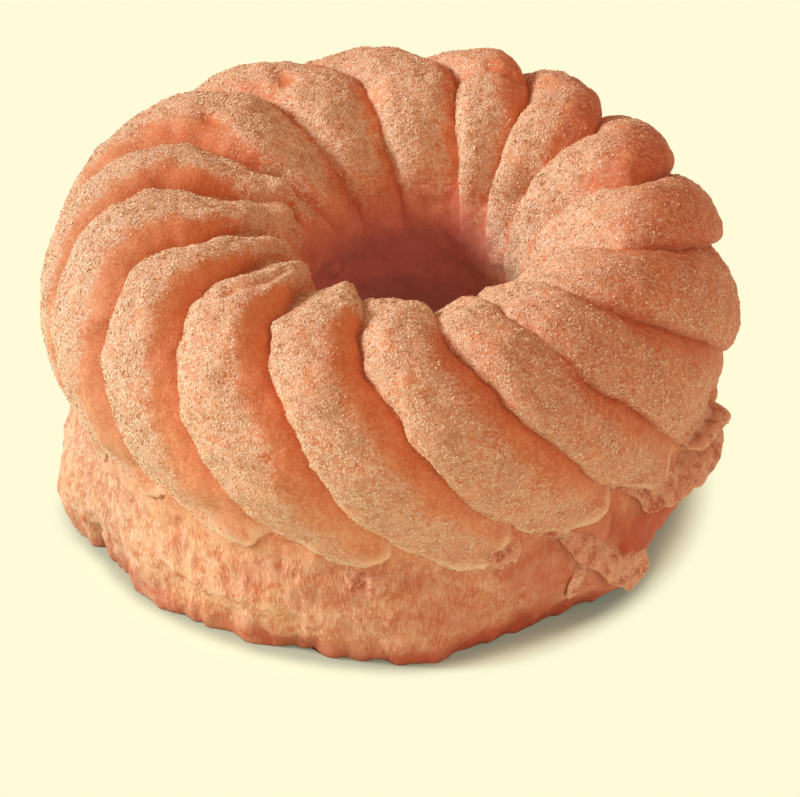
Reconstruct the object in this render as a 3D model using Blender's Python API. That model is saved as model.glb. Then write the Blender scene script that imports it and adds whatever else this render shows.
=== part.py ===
"""A cruller: one ring of piped choux dough, fried, in metres with +Z up, standing on z = 0.

The ring's section runs from the foot of the hole up its wall, over the crown and down the outside to
the outer foot. A place along it is given as its share of that way, from 0 at the hole's foot through
0.5 at the top of the crown to 1 at the outer foot. Bearings are in degrees, anticlockwise from +X.
"""

import math

import bpy
import numpy as np

# The crown's curve: its middle, how far it reaches from there, and the stretch of it that is used.
CROWN_RADIUS = 0.0316
CROWN_HEIGHT = 0.03075
CROWN_RISE = 0.0153
REACH_TO_OUTSIDE = 0.0133
REACH_TO_HOLE = 0.0171
CURVE_FROM, CURVE_TO, CURVE_STEP = 190, -35, 5

# The walls below the crown, as (radius, height) from the foot up.
HOLE_WALL = ((0.0190, 0.0), (0.0170, 0.005), (0.0153, 0.013))
BAND = ((0.0394, 0.0), (0.0416, 0.008), (0.0416, 0.015))

# The hole lies off the crown's middle, and the foot leans the other way below a height.
HOLE_SHIFT = (0.0040, 0.0)
FOOT_SHIFT = (-0.0031, 0.0)
LEAN_HEIGHT = 0.016
LEAN_FROM_RADIUS, LEAN_FULL_RADIUS = 0.020, 0.036

# The valleys between the piped ridges: their bearings at the throat, at the crown and at the skirt.
VALLEYS = (
    (-206, -186, -153), (-192, -161, -133), (-178, -145, -109), (-158, -124, -94),
    (-126, -102, -71), (-94, -82, -48), (-77, -65, -31), (-66, -47, -5),
    (-29, -22, 28), (13, 7, 52), (36, 34, 69), (52, 56, 94),
    (67, 76, 128), (98, 101, 153), (121, 125, 175), (138, 154, 196),
)
THROAT, CROWN, SKIRT = 0.3, 0.5, 0.8
THROAT_CURL, SKIRT_CURL = 1.5, 1.2
LONGEST_SWING = 1.1

# The ridges: depth, where they rise out of the hole, where their tips end, and how they stand proud.
RIDGE_DEPTH = 0.0036
RIDGE_FROM, RIDGE_FULL = 0.22, 0.42
TIP_FROM, TIP_TO = 0.825, 0.865
PROUD_AT_CROWN, PROUD_AT_SKIRT = 0.20, 0.50
PROUD_FROM, PROUD_TO = 0.60, 0.85

# Places where the dough swelled or tore open: bearing, place, width, length, and how far it stands out.
SWELLINGS = (
    (-12, 0.870, 11, 0.040, 0.0028),
    (-28, 0.900, 17, 0.045, 0.0020),
    (-48, 0.930, 9, 0.050, 0.0013),
    (-82, 0.990, 10, 0.060, 0.0020),
    (-160, 0.945, 9, 0.045, 0.0018),
    (178, 0.945, 16, 0.045, 0.0012),
    (150, 0.620, 24, 0.090, 0.0009),
    (62, 0.560, 14, 0.080, 0.0007),
)

# The mesh: steps across each ridge, rows from the hole's foot up to each place, and underneath.
RIDGE_STEPS = 8
ROWS_TO = ((0.0, 1), (0.22, 5), (0.80, 18), (0.88, 5), (1.0, 4))
UNDERSIDE_ROWS = 3

CRUST_COLOUR = (0.60, 0.27, 0.11, 1.0)
CRUST_ROUGHNESS = 0.75


def ease(value, start, end):
    """0 before start, 1 after end, and a smooth step between them."""
    share = min(max((value - start) / (end - start), 0.0), 1.0)
    return share * share * (3.0 - 2.0 * share)


def section_curve():
    """The section's places, radii and heights, from the hole's foot to the outer foot."""
    points = list(HOLE_WALL)
    for degrees in range(CURVE_FROM, CURVE_TO - 1, -CURVE_STEP):
        turn = math.radians(degrees)
        reach = REACH_TO_OUTSIDE if math.cos(turn) > 0 else REACH_TO_HOLE
        points.append((CROWN_RADIUS + reach * math.cos(turn), CROWN_HEIGHT + CROWN_RISE * math.sin(turn)))
    points += reversed(BAND)
    radii, heights = np.array(points).T
    lengths = np.concatenate([[0.0], np.cumsum(np.hypot(np.diff(radii), np.diff(heights)))])
    return lengths / lengths[-1], radii, heights


PLACES, RADII, HEIGHTS = section_curve()


def section(place):
    """Radius and height at this place, and the direction that points out of the dough there."""
    near = (max(place - 0.01, 0.0), place, min(place + 0.01, 1.0))
    radii = np.interp(near, PLACES, RADII)
    heights = np.interp(near, PLACES, HEIGHTS)
    across, up = radii[2] - radii[0], heights[2] - heights[0]
    length = math.hypot(across, up)
    return radii[1], heights[1], -up / length, across / length


def valley_bearing(number, place):
    """Where this valley lies at this place; the numbers run on past the last one, once more round."""
    turns, index = divmod(number, len(VALLEYS))
    at_throat, at_crown, at_skirt = VALLEYS[index]
    if place > CROWN:
        way = min((place - CROWN) / (SKIRT - CROWN), LONGEST_SWING)
        swing = (at_skirt - at_crown) * way**SKIRT_CURL
    else:
        way = min((CROWN - place) / (CROWN - THROAT), LONGEST_SWING)
        swing = (at_throat - at_crown) * way**THROAT_CURL
    return at_crown + 360.0 * turns + swing


def across_ridge(ridge, step, place):
    """The bearing of this step across a ridge, and how high the round ridge stands there, from 0 to 1."""
    turn = math.pi * step / RIDGE_STEPS
    share = 0.5 - 0.5 * math.cos(turn)
    bearing = (1.0 - share) * valley_bearing(ridge, place) + share * valley_bearing(ridge + 1, place)
    return bearing, math.sin(turn)


def swelling(bearing, place):
    """How far the dough stands out here, over its even section."""
    total = 0.0
    for middle, level, width, length, rise in SWELLINGS:
        turned = ((bearing - middle + 180.0) % 360.0 - 180.0) / width
        total += rise * math.exp(-(turned**2) - ((place - level) / length) ** 2)
    return total


def place_in_ring(bearing, radius, height):
    """The point at this bearing and radius, round a middle that leans as the ring does."""
    towards_hole = max(CROWN_RADIUS + REACH_TO_OUTSIDE - radius, 0.0) / CROWN_RADIUS
    towards_foot = max(1.0 - height / LEAN_HEIGHT, 0.0) * ease(radius, LEAN_FROM_RADIUS, LEAN_FULL_RADIUS)
    turn = math.radians(bearing)
    x = radius * math.cos(turn) + HOLE_SHIFT[0] * towards_hole + FOOT_SHIFT[0] * towards_foot
    y = radius * math.sin(turn) + HOLE_SHIFT[1] * towards_hole + FOOT_SHIFT[1] * towards_foot
    return x, y, height


def surface_point(ridge, step, place):
    """A point of the ridged surface: each ridge is half an ellipse, standing between two valleys."""
    bearing, height_in_ridge = across_ridge(ridge, step, place)
    radius, height, out_radius, out_height = section(place)
    strength = ease(place, RIDGE_FROM, RIDGE_FULL) * (1.0 - ease(place, TIP_FROM, TIP_TO))
    proud = PROUD_AT_CROWN + (PROUD_AT_SKIRT - PROUD_AT_CROWN) * ease(place, PROUD_FROM, PROUD_TO)
    rise = RIDGE_DEPTH * strength * (height_in_ridge - 1.0 + proud) + swelling(bearing, place)
    return place_in_ring(bearing, radius + out_radius * rise, max(height + out_height * rise, 0.0))


def underside_point(ridge, step, share):
    """A point of the flat underside, from the hole's foot at share 0 to the outer foot at share 1."""
    inner_bearing, _ = across_ridge(ridge, step, 0.0)
    outer_bearing, _ = across_ridge(ridge, step, 1.0)
    bearing = inner_bearing + (outer_bearing - inner_bearing) * share
    radius = RADII[0] + (RADII[-1] - RADII[0]) * share
    return place_in_ring(bearing, radius, 0.0)


def row_places():
    """The places of the mesh's rows, from the hole's foot to the outer foot."""
    places, last = [], 0.0
    for place, rows in ROWS_TO:
        places += [last + (place - last) * (row + 1) / rows for row in range(rows)]
        last = place
    return places


def make_cruller():
    """A torus whose rows run up the outside, over the crown, down the hole and back underneath."""
    places = row_places()[::-1]
    rows = len(places) + UNDERSIDE_ROWS
    bpy.ops.mesh.primitive_torus_add(
        major_segments=len(VALLEYS) * RIDGE_STEPS,
        minor_segments=rows,
        major_radius=CROWN_RADIUS,
        minor_radius=REACH_TO_OUTSIDE,
    )
    cruller = bpy.context.object
    cruller.name = cruller.data.name = "cruller"
    for vertex in cruller.data.vertices:
        column, row = divmod(vertex.index, rows)
        ridge, step = divmod(column, RIDGE_STEPS)
        if row < len(places):
            vertex.co = surface_point(ridge, step, places[row])
        else:
            share = (row - len(places) + 1) / (UNDERSIDE_ROWS + 1)
            vertex.co = underside_point(ridge, step, share)
    cruller.data.shade_smooth()
    return cruller


def crust_material():
    """Fried dough: matt, light brown."""
    material = bpy.data.materials.new("crust")
    material.use_nodes = True
    shader = material.node_tree.nodes["Principled BSDF"]
    shader.inputs["Base Color"].default_value = CRUST_COLOUR
    shader.inputs["Roughness"].default_value = CRUST_ROUGHNESS
    shader.inputs["Metallic"].default_value = 0.0
    return material


for leftover in list(bpy.data.objects):
    bpy.data.objects.remove(leftover)

doughnut = make_cruller()
doughnut.data.materials.append(crust_material())
collection = bpy.data.collections.new("cruller_doughnut")
bpy.context.scene.collection.children.link(collection)
for home in list(doughnut.users_collection):
    home.objects.unlink(doughnut)
collection.objects.link(doughnut)
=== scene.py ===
"""A cruller: a ring of choux dough piped with a star nozzle, fried, and frosted with fine sugar.

All lengths are in metres and +Z is up. Bearings are in degrees, anticlockwise from +X. A place on the
ring's section is its share of the way from the hole's foot (0) over the crown (0.5) to the outer foot (1).
"""

import math

import bmesh
import bpy
import numpy as np
from mathutils import Matrix, Vector, noise


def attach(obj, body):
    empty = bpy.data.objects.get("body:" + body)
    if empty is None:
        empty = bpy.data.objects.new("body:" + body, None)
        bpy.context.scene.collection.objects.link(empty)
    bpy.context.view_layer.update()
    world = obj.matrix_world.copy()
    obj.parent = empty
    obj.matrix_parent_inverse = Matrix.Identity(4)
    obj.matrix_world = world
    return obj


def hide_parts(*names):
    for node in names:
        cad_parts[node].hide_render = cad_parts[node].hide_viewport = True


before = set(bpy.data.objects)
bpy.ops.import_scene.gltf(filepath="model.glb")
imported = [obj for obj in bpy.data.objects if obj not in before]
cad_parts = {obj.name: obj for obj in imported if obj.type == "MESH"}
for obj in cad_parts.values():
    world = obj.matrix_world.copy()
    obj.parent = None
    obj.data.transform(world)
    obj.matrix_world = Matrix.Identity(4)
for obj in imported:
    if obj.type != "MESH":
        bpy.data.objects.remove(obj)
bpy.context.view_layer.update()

# ---------------------------------------------------------------------------------------------------
# The dough ring. Piped choux dough sets in the fryer with its ridges on top, while the half below them
# swells and stretches into a smooth band. A round section is turned once round the hole, and its lines
# are then laid along the ridges and its rows pulled to the crown's shape.
# ---------------------------------------------------------------------------------------------------
CROWN_RADIUS, CROWN_HEIGHT, CROWN_RISE = 0.0316, 0.03075, 0.0153
REACH_TO_OUTSIDE, REACH_TO_HOLE = 0.0133, 0.0171
CURVE_FROM, CURVE_TO = 190, -35
HOLE_WALL = ((0.0190, 0.0), (0.0170, 0.005), (0.0153, 0.013))
BAND_WALL = ((0.0416, 0.015), (0.0416, 0.008), (0.0394, 0.0))
# The ring isn't quite true: how far the hole and the foot sit towards +X, and where the foot's share begins.
HOLE_SHIFT, FOOT_SHIFT = 0.0040, -0.0031
LEAN_HEIGHT, LEAN_FROM_RADIUS, LEAN_FULL_RADIUS = 0.016, 0.020, 0.036

# Bearings of the valleys between the ridges, at the throat, at the crown and at the skirt.
VALLEYS = np.array((
    (-206, -186, -153), (-192, -161, -133), (-178, -141.5, -111), (-156, -120.5, -90),
    (-123, -101, -70), (-92, -81, -48), (-77, -65, -31), (-66, -48, -2),
    (-29, -22, 31), (13, 7, 52), (36, 34, 69), (52, 56, 94),
    (67, 76, 128), (98, 101, 153), (121, 125, 175), (138, 154, 196),
))
RIDGES = len(VALLEYS)
THROAT, CROWN, SKIRT = 0.3, 0.5, 0.8
THROAT_CURL, SKIRT_CURL, LONGEST_SWING = 1.5, 1.2, 1.1

RIDGE_DEPTH = 0.0036
# Where the ridges begin on the hole's wall, by bearing, and the places over which they rise from there.
WALL_BEARINGS, RIDGES_FROM = (0, 40, 110, 180, 270, 360), (0.29, 0.27, 0.26, 0.34, 0.28, 0.29)
RIDGES_RISE_OVER = 0.11
# The share of a ridge's depth that stands above the even ring, and the places between which it grows.
PROUD_AT_CROWN, PROUD_AT_SKIRT, GETS_PROUDER = 0.20, 0.88, (0.60, 0.85)
# Down the ridges: how far across the crest runs, how flat it is, and the share of the depth that is left.
PROFILE_PLACES = (0.34, 0.44, 0.56, 0.70, 0.82)
CRESTS_AT = (0.78, 0.70, 0.45, 0.34, 0.24)
FLATNESSES = (3.0, 2.8, 2.4, 2.2, 1.8)
DEPTHS_LEFT = (1.0, 1.0, 1.0, 0.72, 0.32)
# How each side of the crest falls away: the lower, the steeper.
LEFT_SIDE, RIGHT_SIDE = 0.55, 0.95
# Beyond the hole the ridges are shallower: the bearing of the shallowest, the width, and the share lost.
SHALLOW_BEARING, SHALLOW_WIDTH, SHALLOW_LOSS = 95.0, 50.0, 0.40
OUTSIDE_BEGINS, PIMPLES_BEGIN = (0.46, 0.58), (0.30, 0.45)

# Where each ridge's tongue ends over the band, and the notches between the tongues.
TIP_PLACES = (0.838, 0.840, 0.845, 0.862, 0.842, 0.850, 0.850, 0.846,
              0.850, 0.856, 0.848, 0.852, 0.846, 0.852, 0.848, 0.850)
NOTCH_PLACE, TIP_AT = 0.806, 0.60
BEFORE_TIP_CURVE, PAST_TIP_CURVE = 2.0, 1.35
LIP_THICKNESS, LIP_ROUNDING, LIP_RAGGEDNESS, TEAR_WIDTH = 0.0006, 0.030, 0.010, 0.0040
LIP_THINS = 0.72, 0.98
# The three rows that turn under a lip: their places past it where it lies flat, the change where it
# hangs free, and how far they stand out there. A tongue hangs free only over the middle of its width.
TURN_FLAT, TURN_FREE = np.array((0.0015, 0.0030, 0.0045)), np.array((0.0015, -0.0050, 0.0))
TURN_RISE = 0.0002, -0.0004, -0.0002
FREE_FROM, FREE_TO = (0.04, 0.30), (0.68, 0.92)

# Where the dough swelled: bearing, place, width, length, and how far it stands out.
SWELLINGS = (
    (-14, 0.880, 9, 0.040, 0.0022), (-28, 0.900, 17, 0.045, 0.0020), (-40, 0.955, 7, 0.035, 0.0026),
    (-48, 0.930, 9, 0.050, 0.0013), (-82, 0.990, 10, 0.060, 0.0020), (-165, 0.950, 8, 0.045, 0.0022),
    (-162, 0.995, 5, 0.022, 0.0008), (178, 0.945, 16, 0.045, 0.0012), (150, 0.620, 24, 0.090, 0.0009),
    (62, 0.560, 14, 0.080, 0.0007), (-76, 0.385, 12, 0.050, -0.0011), (-9, 0.795, 7, 0.050, 0.0013),
)

# Marks of the piping and frying. Each runs from one ridge and place to another, and has a half width and
# a height in mm. Knobs stand up where a ridge was drawn out at the rim, and creases and pits are sunk.
KNOBS = (
    (0.60, 0.405, 0.45, 0.420, 1.5, 0.9), (15.82, 0.392, 16.02, 0.380, 2.2, 2.2),
    (0.85, 0.430, 0.72, 0.420, 1.4, 0.6), (1.75, 0.405, 1.80, 0.385, 1.3, 0.9),
    (2.60, 0.395, 2.66, 0.380, 1.2, 0.9), (3.66, 0.400, 3.72, 0.385, 1.2, 1.0),
    (4.14, 0.400, 4.22, 0.440, 1.8, 0.9), (5.95, 0.395, 6.35, 0.395, 2.6, 0.9),
    (7.05, 0.400, 7.05, 0.500, 1.8, 0.8), (10.40, 0.262, 15.20, 0.248, 0.9, 0.9),
    (6.08, 0.810, 6.42, 0.815, 1.8, 1.9), (13.50, 0.560, 13.30, 0.620, 2.2, 0.7),
    (11.30, 0.560, 11.35, 0.600, 2.0, 0.6), (14.30, 0.500, 14.35, 0.560, 2.0, 0.6),
)
CREASES = (
    (2.40, 0.520, 2.62, 0.470, 0.9, 0.6), (2.62, 0.470, 2.66, 0.432, 0.8, 0.6),
    (3.45, 0.470, 3.40, 0.420, 0.8, 0.4), (13.72, 0.514, 13.66, 0.524, 1.3, 1.0),
    (14.70, 0.508, 14.66, 0.516, 1.1, 0.9), (14.66, 0.565, 14.62, 0.575, 1.2, 0.8),
    (11.53, 0.515, 11.50, 0.520, 1.1, 0.9), (11.15, 0.520, 11.95, 0.505, 0.7, 0.7),
    (6.04, 0.845, 6.53, 0.850, 1.4, 1.7), (6.52, 0.770, 6.57, 0.820, 0.9, 1.2),
    (5.00, 0.410, 5.01, 0.520, 0.6, 0.5), (4.95, 0.815, 5.00, 0.900, 0.9, 0.9),
    (15.40, 0.945, 15.90, 0.960, 1.0, 0.7), (15.42, 0.965, 15.50, 0.999, 0.9, 2.2),
    (2.90, 0.845, 2.95, 0.880, 0.7, 0.6),
)
# Where neighbouring ridges ran together, so that they stand less deep: the last number is the share lost.
RUN_TOGETHER = (
    (5.80, 0.390, 6.10, 0.560, 7.0, 0.75), (4.06, 0.385, 4.10, 0.460, 2.0, 0.62),
    (4.80, 0.380, 4.95, 0.490, 4.5, 0.60), (6.95, 0.380, 7.05, 0.470, 6.0, 0.50),
)
# How far the ridges wander to the side in degrees, and over what length, on a broad and on a fine scale.
WANDERING, FINE_WANDERING = (1.3, 0.009), (0.60, 0.003)
# The crust's unevenness, as height and width: swells and lumps all over, pimples on the ridges, strands
# where the band was stretched, and a ragged foot. Strands and foot are drawn out upwards, as the last says.
SWELLS, SMALL_LUMPS, PIMPLES = (0.00040, 0.0070), (0.00027, 0.0025), (0.00010, 0.0011)
STRANDS, RAGGED_FOOT = (0.00028, 0.0013, (1.0, 1.0, 3.5)), (0.0008, 0.006, (1.0, 1.0, 3.0))
BAND_FROM, FOOT_FROM = (0.81, 0.87), (0.92, 1.0)

LINES_PER_RIDGE = 32
ROWS_IN_HOLE, ROWS_ON_RIDGES, ROWS_AT_LIP, ROWS_ON_BAND, ROWS_UNDER = 12, 118, 3, 40, 9
HOLE_SHARE = 0.24
ROWS = ROWS_IN_HOLE + ROWS_ON_RIDGES + ROWS_AT_LIP + ROWS_ON_BAND + ROWS_UNDER


def ease(value, start, end):
    """A value's way from start to end, as a share that leaves and arrives gently."""
    share = np.clip((value - start) / (end - start), 0.0, 1.0)
    return share * share * (3.0 - 2.0 * share)


def section_curve(steps=1200, softness=10):
    """The even section's radius and height at evenly spaced places, with its corners softened."""
    turn = np.radians(np.arange(CURVE_FROM, CURVE_TO - 1, -1))
    reach = np.where(np.cos(turn) > 0, REACH_TO_OUTSIDE, REACH_TO_HOLE)
    crown = np.column_stack([CROWN_RADIUS + reach * np.cos(turn), CROWN_HEIGHT + CROWN_RISE * np.sin(turn)])
    points = np.vstack([HOLE_WALL, crown, BAND_WALL])
    lengths = np.concatenate([[0.0], np.cumsum(np.hypot(*np.diff(points, axis=0).T))])
    places = np.linspace(0.0, 1.0, steps + 1)
    window = np.hanning(2 * softness + 1)
    soft = []
    for line in points.T:
        even = np.interp(places, lengths / lengths[-1], line)
        before, after = 2 * even[0] - even[softness:0:-1], 2 * even[-1] - even[-2 : -softness - 2 : -1]
        padded = np.concatenate([before, even, after])
        soft.append(np.convolve(padded, window / window.sum(), "valid"))
    return places, soft[0], soft[1]


PLACES, RADII, HEIGHTS = section_curve()
TANGENTS = np.column_stack([np.gradient(RADII), np.gradient(HEIGHTS)])
TANGENTS /= np.linalg.norm(TANGENTS, axis=1)[:, None]


def section_at(place):
    """Radius and height at these places, and the direction out of the dough."""
    radius, height = np.interp(place, PLACES, RADII), np.interp(place, PLACES, HEIGHTS)
    return radius, height, -np.interp(place, PLACES, TANGENTS[:, 1]), np.interp(place, PLACES, TANGENTS[:, 0])


def valley_bearing(number, place):
    """The bearing of the valley with this number, at these places down the section."""
    at_throat, at_crown, at_skirt = VALLEYS[number % RIDGES].T
    outward = np.clip((place - CROWN) / (SKIRT - CROWN), 0.0, LONGEST_SWING) ** SKIRT_CURL
    inward = np.clip((CROWN - place) / (CROWN - THROAT), 0.0, LONGEST_SWING) ** THROAT_CURL
    swing = (at_skirt - at_crown) * outward.T + (at_throat - at_crown) * inward.T
    return (at_crown + 360.0 * (number // RIDGES) + swing).T


def place_in_ring(bearing, radius, height):
    """Points at these bearings and radii, round a middle that leans as the ring does."""
    towards_hole = np.maximum(CROWN_RADIUS + REACH_TO_OUTSIDE - radius, 0.0) / CROWN_RADIUS
    low_down = np.maximum(1.0 - height / LEAN_HEIGHT, 0.0)
    towards_foot = low_down * ease(radius, LEAN_FROM_RADIUS, LEAN_FULL_RADIUS)
    turn = np.radians(bearing)
    x = radius * np.cos(turn) + HOLE_SHIFT * towards_hole + FOOT_SHIFT * towards_foot
    return np.stack([x, radius * np.sin(turn), height + 0.0 * x], axis=-1)


def lumps(points, size, octaves=2, squash=(1.0, 1.0, 1.0)):
    """Smooth random lumps of about this size, from -1 to 1, at an array of points."""
    flat = points.reshape(-1, 3) / (np.array(squash) * size)
    values = [noise.fractal(point, 0.7, 2.0, octaves) for point in flat.tolist()]
    return np.array(values).reshape(points.shape[:-1])


# The grid: one line of points for each step across each ridge, and rows from the hole's foot to the
# lips of the tongues, down the band to the outer foot, and back underneath.
line = np.arange(RIDGES * LINES_PER_RIDGE)
ridge = line // LINES_PER_RIDGE
step = (line % LINES_PER_RIDGE) / LINES_PER_RIDGE
across = 0.45 * (0.5 - 0.5 * np.cos(np.pi * step)) + 0.55 * step

past_tip = (across - TIP_AT) / np.where(across < TIP_AT, TIP_AT, 1.0 - TIP_AT)
tongue = 1.0 - np.abs(past_tip) ** np.where(across < TIP_AT, BEFORE_TIP_CURVE, PAST_TIP_CURVE)
lip = NOTCH_PLACE + (np.array(TIP_PLACES)[ridge] - NOTCH_PLACE) * tongue
lip_turn = np.radians(valley_bearing(ridge, NOTCH_PLACE + 0.0 * lip) + 360.0 / RIDGES * across)
lip_line = CROWN_RADIUS * np.column_stack([np.cos(lip_turn), np.sin(lip_turn), 0.0 * lip])
from_notch = np.minimum(1.0, 6.0 * np.minimum(across, 1.0 - across))
lip = lip + LIP_RAGGEDNESS * lumps(lip_line, TEAR_WIDTH, 3) * from_notch
hangs_free = (ease(across, *FREE_FROM) * (1.0 - ease(across, *FREE_TO)))[:, None]
turn_under = lip[:, None] + TURN_FLAT + hangs_free * TURN_FREE

to_lip = np.concatenate([
    np.linspace(0.0, HOLE_SHARE, ROWS_IN_HOLE, endpoint=False),
    np.linspace(HOLE_SHARE, 1.0, ROWS_ON_RIDGES),
])
below_lip = np.linspace(0.0, 1.0, ROWS_ON_BAND + 1)[1:]
band_top = turn_under[:, -1:]
place = np.concatenate([
    lip[:, None] * to_lip,
    turn_under,
    band_top + (1.0 - band_top) * below_lip,
    np.broadcast_to(1.0, (len(line), ROWS_UNDER)),
], axis=1)
LIP_ROW = ROWS_IN_HOLE + ROWS_ON_RIDGES - 1
FOOT_ROW = LIP_ROW + ROWS_AT_LIP + ROWS_ON_BAND
row = np.arange(ROWS)
on_ridges = (row <= LIP_ROW)[None, :]
on_band = (row > LIP_ROW)[None, :]
underneath = np.clip((row - FOOT_ROW) / (ROWS_UNDER + 1), 0.0, 1.0)[None, :]

left, right = valley_bearing(ridge, place), valley_bearing(ridge + 1, place)
bearing = left + (right - left) * across[:, None]
foot_bearing = bearing[:, :1]
bearing = bearing + (foot_bearing - bearing) * underneath

radius, height, out_radius, out_height = section_at(place)
even = place_in_ring(bearing, radius, height)
wandered = WANDERING[0] * lumps(even + 2.9, WANDERING[1])
wandered = wandered + FINE_WANDERING[0] * lumps(even + 4.3, FINE_WANDERING[1])
bearing = bearing + wandered * (1.0 - underneath)
even = place_in_ring(bearing, radius, height)


def turned_from(middle):
    """How far round from this bearing each point lies, in degrees."""
    return (bearing - middle + 180.0) % 360.0 - 180.0


def round_spot(middle, level, width, length):
    """A spot that fades out round this bearing and place, from 1 to 0."""
    return np.exp(-((turned_from(middle) / width) ** 2) - ((place - level) / length) ** 2)


def on_even_ring(at, level):
    """The point of the even ring at this many ridges round, and at this place."""
    number, level = np.array([int(at)]), np.array([[level]])
    from_left, from_right = valley_bearing(number, level), valley_bearing(number + 1, level)
    middle = from_left + (from_right - from_left) * (at - int(at))
    return place_in_ring(middle, *section_at(level)[:2])[0, 0]


def marked(marks):
    """How much of these marks each point has, as a height in metres."""
    height_of_marks = np.zeros(place.shape)
    for from_at, from_place, to_at, to_place, half_width, mark_height in marks:
        start, end = on_even_ring(from_at, from_place), on_even_ring(to_at, to_place)
        way = end - start
        along = np.clip((even - start) @ way / (way @ way), 0.0, 1.0)
        gap = np.linalg.norm(even - start - along[..., None] * way, axis=-1)
        here = 0.001 * mark_height * np.exp(-((gap / (0.001 * half_width)) ** 2))
        height_of_marks = np.maximum(height_of_marks, here)
    return height_of_marks


knobs, creases = marked(KNOBS), marked(CREASES)
run_together = 1000.0 * marked(RUN_TOGETHER)

# How high the ridge stands: steep on its left side, flat on top, and a longer fall on its right.
down_the_ridge = (CRESTS_AT, FLATNESSES, DEPTHS_LEFT)
crest_at, flatness, depth_left = (np.interp(place, PROFILE_PLACES, values) for values in down_the_ridge)
shifted = across[:, None] ** (np.log(0.5) / np.log(crest_at))
from_crest = np.minimum(np.abs(2.0 * shifted - 1.0), 1.0)
height_in_ridge = (1.0 - from_crest**flatness) ** np.where(shifted < 0.5, LEFT_SIDE, RIGHT_SIDE)

proud = PROUD_AT_CROWN + (PROUD_AT_SKIRT - PROUD_AT_CROWN) * ease(place, *GETS_PROUDER)
begins = np.interp(bearing % 360.0, WALL_BEARINGS, RIDGES_FROM)
strength = ease(place - begins, 0.0, RIDGES_RISE_OVER)
ridge_rise = RIDGE_DEPTH * depth_left * strength * (height_in_ridge - 1.0 + proud)
ridge_rise = ridge_rise * (1.0 - run_together)
far_side = np.exp(-((turned_from(SHALLOW_BEARING) / SHALLOW_WIDTH) ** 2))
outside = ease(place, *OUTSIDE_BEGINS)
ridge_rise = ridge_rise * (1.0 - SHALLOW_LOSS * far_side * (1.0 - outside))
near_lip = np.clip((lip[:, None] - place) / LIP_ROUNDING, 0.0, 1.0)
rounding = np.sqrt(1.0 - (1.0 - near_lip) ** 2)
full_height = np.minimum(1.0, 3.0 * height_in_ridge)
lip_rise = LIP_THICKNESS * full_height * (1.0 - ease(across, *LIP_THINS))[:, None]
ridge_rise = np.where(ridge_rise > lip_rise, lip_rise + (ridge_rise - lip_rise) * rounding, ridge_rise)
turned_rise = np.zeros(ROWS)
turned_rise[LIP_ROW + 1 : LIP_ROW + 1 + ROWS_AT_LIP] = TURN_RISE
rise = np.where(on_ridges, ridge_rise, turned_rise * hangs_free)

for middle, level, width, length, out in SWELLINGS:
    rise = rise + out * round_spot(middle, level, width, length)
rise = rise + knobs - creases
rise = rise + SWELLS[0] * lumps(even, SWELLS[1]) + SMALL_LUMPS[0] * lumps(even + 0.3, SMALL_LUMPS[1])
rise = rise + PIMPLES[0] * lumps(even + 0.9, PIMPLES[1]) * on_ridges * ease(place, *PIMPLES_BEGIN)
band_share = on_band * ease(place, *BAND_FROM)
rise = rise + band_share * STRANDS[0] * lumps(even, STRANDS[1], 3, STRANDS[2])
foot_lumps = lumps(even + 0.7, RAGGED_FOOT[1], 3, RAGGED_FOOT[2])
rise = rise + on_band * ease(place, *FOOT_FROM) * RAGGED_FOOT[0] * foot_lumps

radius = radius + out_radius * rise
height = np.maximum(height + out_height * rise, 0.0)
radius = radius + (RADII[0] - radius) * underneath
height = np.where(underneath > 0.0, 0.0, height)
points = place_in_ring(bearing, radius, height)

ring = bmesh.new()
bmesh.ops.create_circle(
    ring, segments=ROWS, radius=REACH_TO_OUTSIDE,
    matrix=Matrix.Translation((CROWN_RADIUS, 0.0, CROWN_HEIGHT)) @ Matrix.Rotation(math.pi / 2, 4, "X"),
)
bmesh.ops.spin(
    ring, geom=ring.verts[:] + ring.edges[:], cent=(0.0, 0.0, 0.0), axis=(0.0, 0.0, 1.0),
    angle=2.0 * math.pi, steps=len(line), use_merge=True,
)
dough = bpy.data.meshes.new("dough_ring")
ring.to_mesh(dough)
ring.free()
dough.vertices.foreach_set("co", points.reshape(-1).astype(np.float32))
dough_ring = bpy.data.objects.new("dough_ring", dough)
bpy.context.scene.collection.objects.link(dough_ring)

# The coat, by bearing: how much sugar there is, less as painted shade on the side turned from the key lamp,
# how bare the ridges' right flanks are, partly painted shade, and where the sugared crests narrow. On the far
# face it is the ridges' left sides that are bare, as far across as the reach says.
SUGAR_SHADE_BEARINGS = (-180, -120, -70, -25, 30, 90, 150, 180)
SUGAR_BY_PAINTED_SHADE = (0.95, 0.97, 0.78, 0.60, 0.75, 0.90, 0.95, 0.95)
FLANK_BEARINGS, FLANK_BARENESS_AND_SHADE = (-180, -60, -20, 60, 120, 180), (0.97, 0.90, 0.80, 0.75, 0.75, 0.97)
NARROWED_BEARINGS, NARROWED = (-180, -110, -80, 100, 180), (1.0, 1.0, 0.0, 0.3, 1.0)
FAR_BEARINGS, FAR_FACE = (-180, -22, 8, 115, 145, 180), (0.0, 0.0, 1.0, 1.0, 0.0, 0.0)
REACH_BEARINGS, BARE_REACH = (-20, 20, 45, 62, 80), (0.40, 0.34, 0.22, 0.34, 0.0)
# Painted shade: sugar is taken off the outside on the side turned from the key lamp, by bearing and by the
# first share below.
SHADED_OUTSIDE_BEARINGS, SHADED_OUTSIDE = (-180, -45, -10, 60, 110, 180), (0.0, 0.0, 1.0, 1.0, 0.0, 0.0)
SUGAR_LOST_TO_PAINTED_SHADE, FALLEN_OFF, HEAPED_AT_RIM = 0.40, 0.78, 0.30
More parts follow.
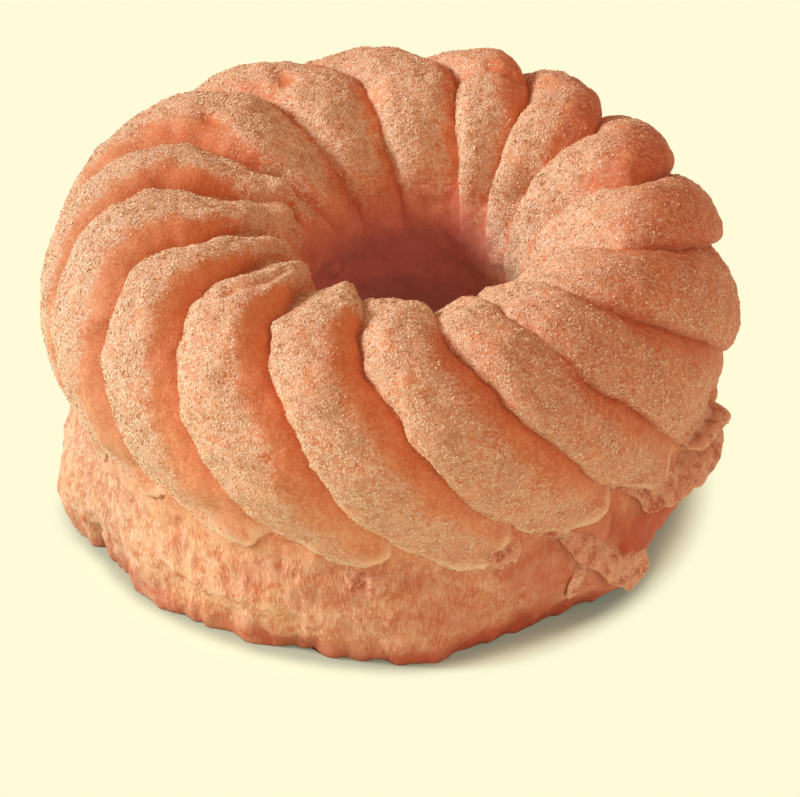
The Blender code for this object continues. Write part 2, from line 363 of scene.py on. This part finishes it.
# Across a ridge: where its bare flank, which is partly painted shade, begins outside, how much later on the
# hole's side and where ridges ran together, how much sooner where the crest is narrow, over what width, and
# what the far face keeps.
FLANK_AT, LATER_IN_HOLE, LATER_RUN_TOGETHER, SOONER_IF_NARROW = 0.56, 0.30, 0.40, 0.20
FLANK_FADES_OVER, FAR_FLANK = 0.24, 0.15
SIDE_FADES = 0.04, 0.34
# The places, down the section, over which these come in or come to an end.
WALL_ENDS, HOLE_ENDS = (0.33, 0.41), (0.25, 0.38)
SUGAR_BEGINS, SUGAR_FILLS, SUGAR_HIGHER_ON_WALL = (0.21, 0.27), (0.30, 0.42), 0.18
HEAP_ENDS, FLANK_MOVES, CREST_NARROWS, SIDE_BARES = (0.42, 0.55), (0.38, 0.52), (0.64, 0.80), (0.42, 0.52)
SHADE_BROWN_BEGINS, BARE_BROWN_BEGINS, FOOT_BROWNS = (0.40, 0.58), (0.40, 0.48), (0.950, 0.992)
HOLLOW_FADES, TIP_BEGINS, LIP_EDGE = (0.74, 0.84), (0.66, 0.82), (-0.016, -0.004)
# The stretch of the hole's wall that the key lamp lights, by bearing and width. It is painted light: there
# the crust takes the crown's sugar and loses the hole's colour, its bare flanks and most of its hollows.
LIT_WALL_BEARING, LIT_WALL_WIDTH = 12.0, 38.0
# Painted shade by bearing: the outside is darkened to red-brown on the side turned from the key lamp. Then
# darker spots, given as the swellings are; the first and the third are painted shade under the lip and the
# knob on the right.
SHADE_BROWN_BEARINGS = (-180, -130, -95, -68, -45, -10, 40, 75, 150, 180)
SHADE_BROWN_BY_BEARING = (0.0, 0.1, 0.3, 0.7, 1.0, 0.9, 0.9, 0.5, 0.3, 0.0)
DARK_SPOTS = (
    (-32, 0.900, 9, 0.045, 0.8), (-45, 0.985, 8, 0.020, 0.6),
    (-8, 0.870, 7, 0.030, 0.6), (-97, 0.880, 5, 0.020, 0.4),
)
BROWN_PATCHES, BROWN_FOOT, BROWN_WHERE_BARE, MOST_BROWN_AND_SHADE = 0.35, 0.7, 0.45, 1.4
PATCH_WIDTH, PATCHY_SUGAR, MOST_SUGAR = 0.0045, 0.6, 1.3
# How much sugar a crease loses, and how deep it looks, for each metre of its depth.
CREASE_BARENESS, CREASE_HOLLOWNESS = 900.0, 1200.0

patchy = lumps(even + 1.7, PATCH_WIDTH, 3)
round_ring = turned_from(0.0)
far_face = np.interp(round_ring, FAR_BEARINGS, FAR_FACE)
lit_wall = np.exp(-((turned_from(LIT_WALL_BEARING) / LIT_WALL_WIDTH) ** 2))
lit_wall = lit_wall * (1.0 - ease(place, *WALL_ENDS))

# Bare dough: the right flank of each ridge at the front, which is also painted shade where it is turned from
# the key lamp, and the left side of each on the far face.
narrowed = np.interp(round_ring, NARROWED_BEARINGS, NARROWED) * ease(place, *CREST_NARROWS)
flank_from = FLANK_AT + LATER_IN_HOLE * (1.0 - ease(place, *FLANK_MOVES))
flank_from = flank_from + LATER_RUN_TOGETHER * run_together - SOONER_IF_NARROW * narrowed
bare_and_shaded_flank = ease(across[:, None] - flank_from, 0.0, FLANK_FADES_OVER) * (1.0 - lit_wall)
bare_and_shaded_flank = bare_and_shaded_flank * (1.0 - (1.0 - FAR_FLANK) * far_face)
bare_reach = np.interp(round_ring, REACH_BEARINGS, BARE_REACH) * ease(place, *SIDE_BARES)
bare_side = far_face * (1.0 - ease(across[:, None] - bare_reach, *SIDE_FADES))

# Where the sugar frosting holds, with less of it as painted shade on the side turned from the key lamp, and
# more as painted light on the lit stretch of the hole's wall.
frost_and_painted_light = (0.3 + 0.7 * ease(across, 0.0, 0.03))[:, None]
frost_and_painted_light = frost_and_painted_light * (1.0 - np.interp(round_ring, FLANK_BEARINGS, FLANK_BARENESS_AND_SHADE) * bare_and_shaded_flank)
frost_and_painted_light = frost_and_painted_light * np.maximum(np.interp(round_ring, SUGAR_SHADE_BEARINGS, SUGAR_BY_PAINTED_SHADE), lit_wall)
frost_and_painted_light = frost_and_painted_light * ease(place + SUGAR_HIGHER_ON_WALL * lit_wall, *SUGAR_FILLS) * on_ridges
frost_and_painted_light = frost_and_painted_light * (1.0 - SUGAR_LOST_TO_PAINTED_SHADE * np.interp(round_ring, SHADED_OUTSIDE_BEARINGS, SHADED_OUTSIDE) * outside)
frost_and_painted_light = frost_and_painted_light * (1.0 - FALLEN_OFF * bare_side)
frost_and_painted_light = frost_and_painted_light * (1.0 + PATCHY_SUGAR * patchy) * (1.0 + HEAPED_AT_RIM * (1.0 - ease(place, *HEAP_ENDS)))
frost_and_painted_light = np.clip(frost_and_painted_light - CREASE_BARENESS * creases, 0.0, MOST_SUGAR) * ease(place, *SUGAR_BEGINS)

# How browned the crust is, with painted shade on the side turned from the key lamp and in two of the darker
# spots.
browned = np.interp(round_ring, SHADE_BROWN_BEARINGS, SHADE_BROWN_BY_BEARING) * ease(place, *SHADE_BROWN_BEGINS)
browned = browned + BROWN_PATCHES * patchy + BROWN_FOOT * ease(place, *FOOT_BROWNS)
# Darker spots, two of them painted shade under the lip and the knob on the right.
for middle, level, width, length, share in DARK_SPOTS:
    browned = browned + share * round_spot(middle, level, width, length)
browned = browned + BROWN_WHERE_BARE * bare_side * ease(place, *BARE_BROWN_BEGINS)
browned = np.clip(browned, 0.0, MOST_BROWN_AND_SHADE)

# How deep in a valley the crust lies: near a ridge's right side, or on the far face near its left side.
near_right = ease(across[:, None] - 0.20 * run_together, 0.62, 0.94) * (1.0 - far_face)
near_left = 1.0 - ease(across[:, None], 0.05 * far_face, 0.04 + 0.32 * far_face)
hollow = np.maximum(near_right, near_left) * (1.0 - 0.8 * lit_wall)
hollow = hollow * (1.0 - 0.30 * ease(place, *HOLLOW_FADES)) * (1.0 - 0.8 * run_together) * on_ridges
hollow = np.clip(hollow + CREASE_HOLLOWNESS * creases, 0.0, 1.0)

# How near it is to a tongue's tip and to the very lip, where a painted highlight runs, and where it lines the
# hole.
tip = ease(place, *TIP_BEGINS) * on_ridges
lip_highlight = ease(place - lip[:, None], *LIP_EDGE) * on_ridges * full_height
hole = (1.0 - ease(place, *HOLE_ENDS)) * (1.0 - lit_wall) * on_ridges
surface = {"frost_and_painted_light": frost_and_painted_light, "hollow": hollow, "band": band_share, "tip": tip, "lip_highlight": lip_highlight,
           "hole": hole, "browned": browned}
for name, values in surface.items():
    attribute = dough.attributes.new(name, "FLOAT", "POINT")
    attribute.data.foreach_set("value", values.reshape(-1).astype(np.float32))

shaping = bmesh.new()
shaping.from_mesh(dough)
bmesh.ops.recalc_face_normals(shaping, faces=shaping.faces[:])
shaping.to_mesh(dough)
shaping.free()
dough.shade_smooth()


def colour(code):
    """A colour written as in a paint card, #rrggbb, in the numbers that a shader takes."""
    parts = [int(code[at : at + 2], 16) / 255.0 for at in (1, 3, 5)]
    return tuple(((p + 0.055) / 1.055) ** 2.4 if p > 0.04045 else p / 12.92 for p in parts) + (1.0,)


def put(tree, kind, inputs=None, **settings):
    """A new node with its settings, and its inputs given as values or as the sockets that feed them."""
    node = tree.nodes.new(kind)
    for name, value in settings.items():
        setattr(node, name, value)
    for name, value in (inputs or {}).items():
        if isinstance(value, bpy.types.NodeSocket):
            tree.links.new(value, node.inputs[name])
        else:
            node.inputs[name].default_value = value
    return node


def blend(tree, share, low, high, mode="MIX"):
    """Two colours mixed by a share from 0 to 1."""
    node = tree.nodes.new("ShaderNodeMix")
    node.data_type, node.blend_type = "RGBA", mode
    for socket, value in ((node.inputs[0], share), (node.inputs[6], low), (node.inputs[7], high)):
        if isinstance(value, bpy.types.NodeSocket):
            tree.links.new(value, socket)
        else:
            socket.default_value = value
    return node.outputs[2]


def spread(tree, value, start, end, low=0.0, high=1.0):
    """A value's way from start to end, as a smooth step from low to high."""
    node = put(tree, "ShaderNodeMapRange", {"Value": value, "From Min": start, "From Max": end,
                                            "To Min": low, "To Max": high}, interpolation_type="SMOOTHSTEP")
    return node.outputs["Result"]


def maths(tree, operation, first, second):
    """The result of this operation on two values or sockets."""
    return put(tree, "ShaderNodeMath", {0: first, 1: second}, operation=operation).outputs[0]


def attribute_of(tree, name):
    """What the mesh stores under this name."""
    return put(tree, "ShaderNodeAttribute", attribute_name=name).outputs["Fac"]


def speckle(tree, where, scale, detail):
    """Random specks: a value that wanders round a half."""
    inputs = {"Vector": where, "Scale": scale, "Detail": detail}
    return put(tree, "ShaderNodeTexNoise", inputs).outputs["Fac"]


def doughy(name, roughness, soaked_share, soaked_tint, soaked_depth):
    """A material that light soaks into, with its nodes, its shader and the place on the piece."""
    material = bpy.data.materials.new(name)
    material.use_nodes = True
    tree = material.node_tree
    shader = tree.nodes["Principled BSDF"]
    shader.inputs["Roughness"].default_value = roughness
    shader.inputs["Subsurface Weight"].default_value = soaked_share
    shader.inputs["Subsurface Radius"].default_value = soaked_tint
    shader.inputs["Subsurface Scale"].default_value = soaked_depth
    return material, tree, shader, put(tree, "ShaderNodeTexCoord").outputs["Object"]


def fried_crust():
    """Fried choux crust: orange in the hollows, frosted with fine sugar on the ridges, yellow on the band."""
    material, tree, shader, here = doughy("fried_crust", 0.72, 0.25, (1.0, 0.4, 0.2), 0.0015)
    frost_and_light_share, hollowness, banding = (attribute_of(tree, name) for name in ("frost_and_painted_light", "hollow", "band"))
    tip_share, hole_share, edge = (attribute_of(tree, name) for name in ("tip", "hole", "lip_highlight"))
    brown_and_shade = attribute_of(tree, "browned")

    def times(first, second):
        return maths(tree, "MULTIPLY", first, second)

    # The ridges: mottled, orange in the hollows, pinker at the tips and in the hole, with fine pores.
    mottle = spread(tree, speckle(tree, here, 240.0, 4.0), 0.35, 0.68)
    crust = blend(tree, mottle, colour("#d8925f"), colour("#c97848"))
    crust = blend(tree, times(hollowness, 0.80), crust, colour("#da7d4c"))
    crust = blend(tree, times(tip_share, 0.45), crust, colour("#dd9870"))
    crust = blend(tree, times(hole_share, 0.85), crust, colour("#d07a7a"))
    # Browned patches and foot, and painted shade on the side turned from the key lamp, all in red-brown.
    crust = blend(tree, times(brown_and_shade, 0.60), crust, colour("#b4553a"))
    sandy = spread(tree, speckle(tree, here, 1700.0, 3.0), 0.42, 0.64, 0.0, 0.5)
    sheltered = maths(tree, "MAXIMUM", hole_share, times(hollowness, 0.5))
    crust = blend(tree, times(sandy, maths(tree, "SUBTRACT", 1.0, sheltered)), crust, colour("#e8b084"))
    pores = spread(tree, speckle(tree, here, 2500.0, 3.0), 0.54, 0.68, 0.0, 0.42)
    crust = blend(tree, pores, crust, colour("#b75c38"))

    # The band: stretched dough with yellow patches, pale upright fibres and darker pits.
    upright = put(tree, "ShaderNodeMapping", {"Vector": here, "Scale": (1.0, 1.0, 0.20)}).outputs["Vector"]
    fibre = speckle(tree, upright, 4200.0, 4.0)
    patches = spread(tree, speckle(tree, here, 380.0, 6.0), 0.42, 0.60)
    stretched = blend(tree, patches, colour("#dea985"), colour("#cf8860"))
    yellowed = times(spread(tree, speckle(tree, here, 150.0, 3.0), 0.45, 0.65), 0.35)
    stretched = blend(tree, yellowed, stretched, colour("#ecb47a"))
    stretched = blend(tree, times(spread(tree, fibre, 0.49, 0.60), 0.62), stretched, colour("#f4d8b4"))
    pitted = times(spread(tree, speckle(tree, here, 850.0, 4.0), 0.55, 0.66), 0.6)
    stretched = blend(tree, pitted, stretched, colour("#c8703f"))
    # The same browning and painted shade on the band.
    stretched = blend(tree, times(brown_and_shade, 0.80), stretched, colour("#b85434"))
    base = blend(tree, banding, crust, stretched)

    # The frosting: packed grains that come and go in clumps, tinted by the crust that they lie on. Their
    # share carries the coat's painted shade and light.
    packed = put(tree, "ShaderNodeTexVoronoi", {"Vector": here, "Scale": 3100.0})
    grain_top = spread(tree, packed.outputs["Distance"], 0.70, 0.05)
    one_grain = put(tree, "ShaderNodeSeparateColor", {"Color": packed.outputs["Color"]}).outputs["Red"]
    level = maths(tree, "ADD", times(frost_and_light_share, 0.55), times(speckle(tree, here, 520.0, 3.0), 0.90))
    frosted = spread(tree, maths(tree, "SUBTRACT", level, times(one_grain, 0.4)), 0.28, 0.80)
    frosted = times(frosted, spread(tree, frost_and_light_share, 0.02, 0.30))
    sugar = blend(tree, spread(tree, one_grain, 0.15, 0.85), colour("#f4e5cb"), colour("#e3bd97"))
    sugar = blend(tree, times(tip_share, 0.4), sugar, colour("#e8b598"))
    # The same browning and painted shade on the sugar.
    sugar = blend(tree, times(brown_and_shade, 0.68), sugar, colour("#c48468"))
    covering = maths(tree, "ADD", times(grain_top, 0.5), 0.38)
    base = blend(tree, times(frosted, covering), base, sugar)
    # A painted highlight: a pale line along the lip of each tongue.
    base = blend(tree, times(edge, 0.6), base, colour("#edcaa6"))

    # Painted shade: the left side, where the key lamp falls strongest, is darkened a little.
    sideways = put(tree, "ShaderNodeSeparateXYZ", {"Vector": here}).outputs["X"]
    base = blend(tree, spread(tree, sideways, -0.022, -0.040), base, colour("#eff4f8"), "MULTIPLY")
    tree.links.new(base, shader.inputs["Base Color"])

    # The relief: grains on the ridges, fibres on the band, and neither in the hole.
    grain_relief = times(grain_top, maths(tree, "ADD", times(frosted, 0.6), 0.4))
    grainy_part = maths(tree, "SUBTRACT", 1.0, maths(tree, "MAXIMUM", banding, hole_share))
    fibre_relief = times(fibre, times(banding, 2.2))
    relief = maths(tree, "ADD", times(grain_relief, grainy_part), fibre_relief)
    bump = put(tree, "ShaderNodeBump", {"Height": relief, "Strength": 0.5, "Distance": 0.0002})
    tree.links.new(bump.outputs["Normal"], shader.inputs["Normal"])
    return material


dough.materials.append(fried_crust())
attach(dough_ring, "root")
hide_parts("cruller")

# ---------------------------------------------------------------------------------------------------
# Loose skin. Where the tongues tore from the swelling dough, thin flaps of their skin hang over the band.
# Each is a sheet laid on the crust, held along its upper line and standing off at its lower edge.
# ---------------------------------------------------------------------------------------------------
SKIN_THICKNESS = 0.0004
FLAP_COLUMNS, FLAP_ROWS = 72, 20
# The upper line is tucked this deep into the crust, the lower edge tears over this share of the section,
# and the skin buckles by this height over this width.
TUCKED_IN, TEAR_DEPTH = 0.0008, 0.006
BUCKLE_HEIGHT, BUCKLE_WIDTH = 0.00020, 0.0016
# A ridge counts as the first number for the tears, which are as wide as the second.
RIDGE_FOR_TEARS, TEAR_WIDTH = 60.0, 14.0
# The first and last eighth of a flap hold it down.
COMES_FREE_OVER, LIFT_CURVE = 0.125, 1.6

# Upper line and lower edge as ridges and places, and how far the lower edge stands off.
FLAPS = (
    (((4.96, 0.800), (5.30, 0.830), (5.80, 0.836), (6.26, 0.832), (6.86, 0.836)),
     ((4.93, 0.812), (5.25, 0.864), (5.55, 0.876), (6.13, 0.890), (6.52, 0.882), (6.87, 0.862)), 0.0012),
    (((6.04, 0.785), (6.25, 0.775), (6.48, 0.785)), ((6.00, 0.815), (6.25, 0.836), (6.50, 0.820)), 0.0016),
    (((4.15, 0.815), (4.60, 0.850), (5.00, 0.900), (5.45, 0.920)),
     ((4.15, 0.825), (4.50, 0.886), (4.80, 0.922), (5.10, 0.950), (5.50, 0.938)), 0.0011),
    (((4.49, 0.875), (4.61, 0.875)), ((4.53, 0.938), (4.58, 0.945), (4.63, 0.936)), 0.0003),
    (((2.38, 0.855), (2.88, 0.852)), ((2.42, 0.872), (2.60, 0.893), (2.82, 0.886)), 0.0006),
    (((3.62, 0.835), (3.96, 0.826)), ((3.64, 0.850), (3.80, 0.864), (3.96, 0.858)), 0.0005),
)


def on_crust(at, level):
    """Points of the finished crust at these ridges round and places, and the direction out of it."""
    rising = np.maximum.accumulate(place[:, : FOOT_ROW + 1], axis=1)
    line_at = np.interp(at, ridge + across, line)
    low = line_at.astype(int)
    share = (line_at - low)[:, None]
    found = []
    for one_line in (low, (low + 1) % len(line)):
        rows_down = row[: FOOT_ROW + 1]
        row_at = np.array([np.interp(down, rising[n], rows_down) for n, down in zip(one_line, level)])
        low_row = row_at.astype(int)
        row_share = (row_at - low_row)[:, None]
        found.append(points[one_line, low_row] * (1 - row_share) + points[one_line, low_row + 1] * row_share)
    spot = found[0] * (1 - share) + found[1] * share
    # Seen from above, the way out runs from a point between the middle of the ring and that of the hole.
    turn = np.arctan2(spot[:, 1], spot[:, 0] - HOLE_SHIFT * 0.5)
    out_radius, out_height = section_at(level)[2:]
    return spot, np.column_stack([out_radius * np.cos(turn), out_radius * np.sin(turn), out_height])


def even_line(stops, count):
    """Ridges and places along a line through these stops, with its corners eased."""
    share = np.linspace(0.0, 1.0, len(stops))
    fine = np.linspace(0.0, 1.0, count)
    window = np.hanning(7)[1:-1]
    sides = []
    for values in np.array(stops).T:
        evenly = np.pad(np.interp(fine, share, values), 2, mode="edge")
        sides.append(np.convolve(evenly, window / window.sum(), "valid"))
    return sides


columns = np.linspace(0.0, 1.0, FLAP_COLUMNS)
skin = bmesh.new()
outward = skin.verts.layers.float_vector.new("outward")
for upper, lower, stand_off in FLAPS:
    flap = bmesh.ops.create_grid(skin, x_segments=FLAP_COLUMNS - 1, y_segments=FLAP_ROWS - 1, size=1.0)
    corners = flap["verts"]
    u = np.array([corner.co.x * 0.5 + 0.5 for corner in corners])
    v = np.array([corner.co.y * 0.5 + 0.5 for corner in corners])
    upper_at, upper_place = even_line(upper, FLAP_COLUMNS)
    lower_at, lower_place = even_line(lower, FLAP_COLUMNS)
    at = np.interp(u, columns, upper_at) * (1 - v) + np.interp(u, columns, lower_at) * v
    level = np.interp(u, columns, upper_place) * (1 - v) + np.interp(u, columns, lower_place) * v
    along = np.column_stack([RIDGE_FOR_TEARS * at, 0.0 * at, 0.0 * at])
    tear = lumps(along + stand_off, TEAR_WIDTH, 4)
    level = level + TEAR_DEPTH * tear * v**3
    spot, outwards = on_crust(at, level)
    comes_free = np.minimum(1.0, np.minimum(u, 1.0 - u) / COMES_FREE_OVER) ** 0.5
    lift = stand_off * v**LIFT_CURVE * comes_free + BUCKLE_HEIGHT * lumps(spot, BUCKLE_WIDTH, 3)
    lift = lift - TUCKED_IN * (1.0 - v) ** 2
    for corner, where_it_goes, out in zip(corners, spot + outwards * lift[:, None], outwards):
        corner.co = where_it_goes
        corner[outward] = out
outer_side_of_skin = bmesh.ops.extrude_face_region(skin, geom=skin.faces[:], use_keep_orig=True)["geom"]
for corner in (part for part in outer_side_of_skin if isinstance(part, bmesh.types.BMVert)):
    corner.co += SKIN_THICKNESS * corner[outward]
bmesh.ops.recalc_face_normals(skin, faces=skin.faces[:])
skin_mesh = bpy.data.meshes.new("loose_skin")
skin.to_mesh(skin_mesh)
skin.free()
skin_mesh.shade_smooth()
loose_skin = bpy.data.objects.new("loose_skin", skin_mesh)
bpy.context.scene.collection.objects.link(loose_skin)


def dusty_skin():
    """The thin skin of the tongues: dull beige where it dried, orange where it is still oily."""
    material, tree, shader, here = doughy("dusty_skin", 0.7, 0.3, (1.0, 0.4, 0.2), 0.001)
    oily, grain = speckle(tree, here, 620.0, 5.0), speckle(tree, here, 2800.0, 2.0)
    base = blend(tree, spread(tree, oily, 0.44, 0.64), colour("#d79c7c"), colour("#b96c4e"))
    base = blend(tree, spread(tree, grain, 0.50, 0.70, 0.0, 0.6), base, colour("#ecc4a4"))
    tree.links.new(base, shader.inputs["Base Color"])
    bump = put(tree, "ShaderNodeBump", {"Height": grain, "Strength": 0.9, "Distance": 0.0003})
    tree.links.new(bump.outputs["Normal"], shader.inputs["Normal"])
    return material


skin_mesh.materials.append(dusty_skin())
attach(loose_skin, "root")

# ---------------------------------------------------------------------------------------------------
# The frosting's grains. Fine sugar and larger crystals stick in the thin glaze on the ridges. Each
# grain is a small closed solid, turned at random, half melted down, with its middle level with the crust.
# ---------------------------------------------------------------------------------------------------
FINE_GRAINS, FINE_SIZE = 49000, (0.00012, 0.00021)
CRYSTALS, CRYSTAL_SIZE = 23000, (0.00013, 0.00025)
FLATTENED = 0.55
# Grains lie only where the frosting is thicker than this, and the tips of the tongues lose some of them.
THINNEST_FROSTING, LOST_AT_TIPS = 0.10, 0.4


def grain_shape(kind):
    """The corners and faces of one grain of about unit radius, round its middle."""
    shape = bmesh.new()
    if kind == "tetrahedron":
        bmesh.ops.create_cone(shape, cap_ends=True, segments=3, radius1=1.0, radius2=0.0, depth=1.5)
    else:
        bmesh.ops.create_cone(shape, cap_ends=False, segments=4, radius1=1.0, radius2=0.0, depth=1.0)
        bmesh.ops.mirror(shape, geom=shape.verts[:] + shape.edges[:] + shape.faces[:],
                         matrix=Matrix.Translation((0.0, 0.0, -0.5)), merge_dist=0.001, axis="Z")
    bmesh.ops.remove_doubles(shape, verts=shape.verts[:], dist=0.001)
    bmesh.ops.recalc_face_normals(shape, faces=shape.faces[:])
    corners = np.array([corner.co[:] for corner in shape.verts])
    faces = np.array([[corner.index for corner in face.verts] for face in shape.faces])
    shape.free()
    return corners - corners.mean(axis=0), faces


# The four corners of each face of the crust, its direction outwards and its area.
beside = np.roll(points, -1, axis=0)
quad_corners = np.stack([points[:, :-1], beside[:, :-1], beside[:, 1:], points[:, 1:]], axis=2)
diagonal, other_diagonal = (quad_corners[:, :, n + 2] - quad_corners[:, :, n] for n in (0, 1))
quad_normal = np.cross(diagonal, other_diagonal)
quad_area = 0.5 * np.linalg.norm(quad_normal, axis=-1)
quad_normal = quad_normal / np.maximum(2.0 * quad_area, 1e-12)[..., None]
CROWN_ROW = LIP_ROW // 2
if quad_normal[:, CROWN_ROW, 2].sum() < 0.0:
    quad_normal = -quad_normal


def scattered(name, kind, count, sizes, weights, seed):
    """One mesh of many grains, laid where the weights ask for them."""
    rng = np.random.default_rng(seed)
    share = np.cumsum((weights * quad_area).reshape(-1))
    chosen = np.searchsorted(share, rng.random(count) * share[-1])
    corners = quad_corners.reshape(-1, 4, 3)[chosen]
    u, v = rng.random((2, count, 1))
    middle = ((1 - u) * (1 - v) * corners[:, 0] + u * (1 - v) * corners[:, 1]
              + u * v * corners[:, 2] + (1 - u) * v * corners[:, 3])
    size = rng.uniform(*sizes, (count, 1))

    spin_of = rng.normal(size=(count, 4))
    spin_of /= np.linalg.norm(spin_of, axis=1)[:, None]
    w, x, y, z = spin_of.T
    turn = np.array((
        (1 - 2 * (y * y + z * z), 2 * (x * y - w * z), 2 * (x * z + w * y)),
        (2 * (x * y + w * z), 1 - 2 * (x * x + z * z), 2 * (y * z - w * x)),
        (2 * (x * z - w * y), 2 * (y * z + w * x), 1 - 2 * (x * x + y * y)),
    )).transpose(2, 0, 1)
    shape, faces = grain_shape(kind)
    corners_out = size[:, None] * np.einsum("nij,kj->nki", turn, shape)
    out = quad_normal.reshape(-1, 3)[chosen][:, None]
    corners_out = corners_out - (1.0 - FLATTENED) * (corners_out * out).sum(axis=-1, keepdims=True) * out
    grains = middle[:, None] + corners_out
    all_faces = faces[None] + len(shape) * np.arange(count)[:, None, None]

    mesh = bpy.data.meshes.new(name)
    mesh.from_pydata(grains.reshape(-1, 3), [], all_faces.reshape(-1, faces.shape[1]))
    piece = bpy.data.objects.new(name, mesh)
    bpy.context.scene.collection.objects.link(piece)
    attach(piece, "root")
    return mesh


def sugar_grains(name, light_colour, amber):
    """Sugar: pale and slightly clear, browned here and there by the glaze round it."""
    material, tree, shader, here = doughy(name, 0.45, 0.2, (1.0, 0.6, 0.4), 0.0003)
    stained = spread(tree, speckle(tree, here, 900.0, 2.0), 0.40, 0.66)
    tree.links.new(blend(tree, stained, light_colour, amber), shader.inputs["Base Color"])
    return material


# The grains follow the frost, so painted shade and light place them too.
grainy = np.maximum(frost_and_painted_light - THINNEST_FROSTING, 0.0) * (1.0 - LOST_AT_TIPS * tip)
grainy = grainy + np.roll(grainy, -1, axis=0)
frost_and_light_of_quad = 0.25 * (grainy[:, :-1] + grainy[:, 1:])
fine_sugar = scattered("fine_sugar", "tetrahedron", FINE_GRAINS, FINE_SIZE, frost_and_light_of_quad, 11)
fine_sugar.materials.append(sugar_grains("fine_sugar", colour("#eed3b1"), colour("#d9a880")))
sugar_crystals = scattered("sugar_crystals", "octahedron", CRYSTALS, CRYSTAL_SIZE, frost_and_light_of_quad**2, 12)
sugar_crystals.materials.append(sugar_grains("sugar_crystals", colour("#f4dab8"), colour("#e0ae82")))

# ---------------------------------------------------------------------------------------------------
# The table, the studio light and the camera. The doughnut stands on pale paper that is evenly bright
# beyond its own shade. A small lamp on the left throws the shadows, and a broad warm one fills them.
# ---------------------------------------------------------------------------------------------------
FLOOR_HALF_WIDTH = 3.0
# The paper shows shade round this point out to the first radius, and none past the second.
SHADE_MIDDLE, SHADE_ENDS = (-0.001, 0.0, 0.0), (0.0410, 0.0460)
# Painted contact shade: right beside the dough, where ambient occlusion finds the paper closed in, its
# colours are darkened to this share, within this reach.
NOOK_REACH, NOOK_SHARE, NOOK_FROM, NOOK_TO = 0.0045, 0.52, 0.45, 1.0
PAPER_COLOUR = "#fffbd8"
floor_mesh = bpy.data.meshes.new("floor")
sheet = bmesh.new()
bmesh.ops.create_grid(sheet, x_segments=1, y_segments=1, size=FLOOR_HALF_WIDTH)
sheet.to_mesh(floor_mesh)
sheet.free()
floor = bpy.data.objects.new("floor", floor_mesh)
bpy.context.scene.collection.objects.link(floor)
paper = bpy.data.materials.new("floor_paper")
paper.use_nodes = True
sheet_tree = paper.node_tree
paper_shader = sheet_tree.nodes["Principled BSDF"]
paper_shader.inputs["Roughness"].default_value = 1.0
paper_shader.inputs["Specular IOR Level"].default_value = 0.0
paper_shader.inputs["Emission Strength"].default_value = 1.0
on_paper = put(sheet_tree, "ShaderNodeTexCoord").outputs["Object"]
from_middle = put(sheet_tree, "ShaderNodeVectorMath", {0: on_paper, 1: SHADE_MIDDLE}, operation="DISTANCE")
away = spread(sheet_tree, from_middle.outputs["Value"], *SHADE_ENDS)
nook = put(sheet_tree, "ShaderNodeAmbientOcclusion", {"Distance": NOOK_REACH})
closed_in = spread(sheet_tree, nook.outputs["AO"], NOOK_FROM, NOOK_TO, NOOK_SHARE, 1.0)
for socket, near, far in (("Base Color", "#faffe3", "#000000"), ("Emission Color", "#277771", PAPER_COLOUR)):
    shaded = blend(sheet_tree, 1.0, colour(near), closed_in, "MULTIPLY")
    sheet_tree.links.new(blend(sheet_tree, away, shaded, colour(far)), paper_shader.inputs[socket])
floor_mesh.materials.append(paper)


LAMPS_AIM = Vector((0.0, 0.0, 0.02))


def soft_light(name, place, size, power, tint):
    """A square soft box that looks at the middle of the doughnut."""
    light = bpy.data.lights.new(name, "AREA")
    light.size, light.energy, light.color = size, power, tint
    lamp = bpy.data.objects.new(name, light)
    lamp.location = place
    lamp.rotation_euler = (LAMPS_AIM - lamp.location).to_track_quat("-Z", "Y").to_euler()
    bpy.context.scene.collection.objects.link(lamp)


soft_light("key_light", (-1.66, 0.00, 0.88), 0.40, 35.5, (0.94, 1.0, 1.02))
soft_light("fill_light", (0.60, -1.50, 0.90), 1.8, 8.5, (1.0, 0.70, 0.56))

# The room is dim and warm, but to the camera it is as bright as the paper.
ROOM_COLOUR, ROOM_STRENGTH = "#ffc9a4", 0.55
world = bpy.data.worlds.new("studio")
world.use_nodes = True
sky = world.node_tree
dim = sky.nodes["Background"]
dim.inputs["Color"].default_value = colour(ROOM_COLOUR)
dim.inputs["Strength"].default_value = ROOM_STRENGTH
backdrop = put(sky, "ShaderNodeBackground", {"Color": colour(PAPER_COLOUR), "Strength": 1.0})
seen = put(sky, "ShaderNodeLightPath").outputs["Is Camera Ray"]
room = put(sky, "ShaderNodeMixShader", {0: seen, 1: dim.outputs[0], 2: backdrop.outputs[0]})
sky.links.new(room.outputs[0], sky.nodes["World Output"].inputs["Surface"])
bpy.context.scene.world = world
bpy.context.scene.view_settings.view_transform = "Standard"

VIEW_UP, VIEW_DISTANCE, LENS = math.radians(35.52), 0.6, 201.53
AIM = Vector((0.00149, -0.00340, 0.01524))
camera_data = bpy.data.cameras.new("camera")
camera_data.lens = LENS
camera = bpy.data.objects.new("camera", camera_data)
camera.location = AIM + VIEW_DISTANCE * Vector((0.0, -math.cos(VIEW_UP), math.sin(VIEW_UP)))
camera.rotation_euler = (math.pi / 2 - VIEW_UP, 0.0, 0.0)
bpy.context.scene.collection.objects.link(camera)
bpy.context.scene.camera = camera
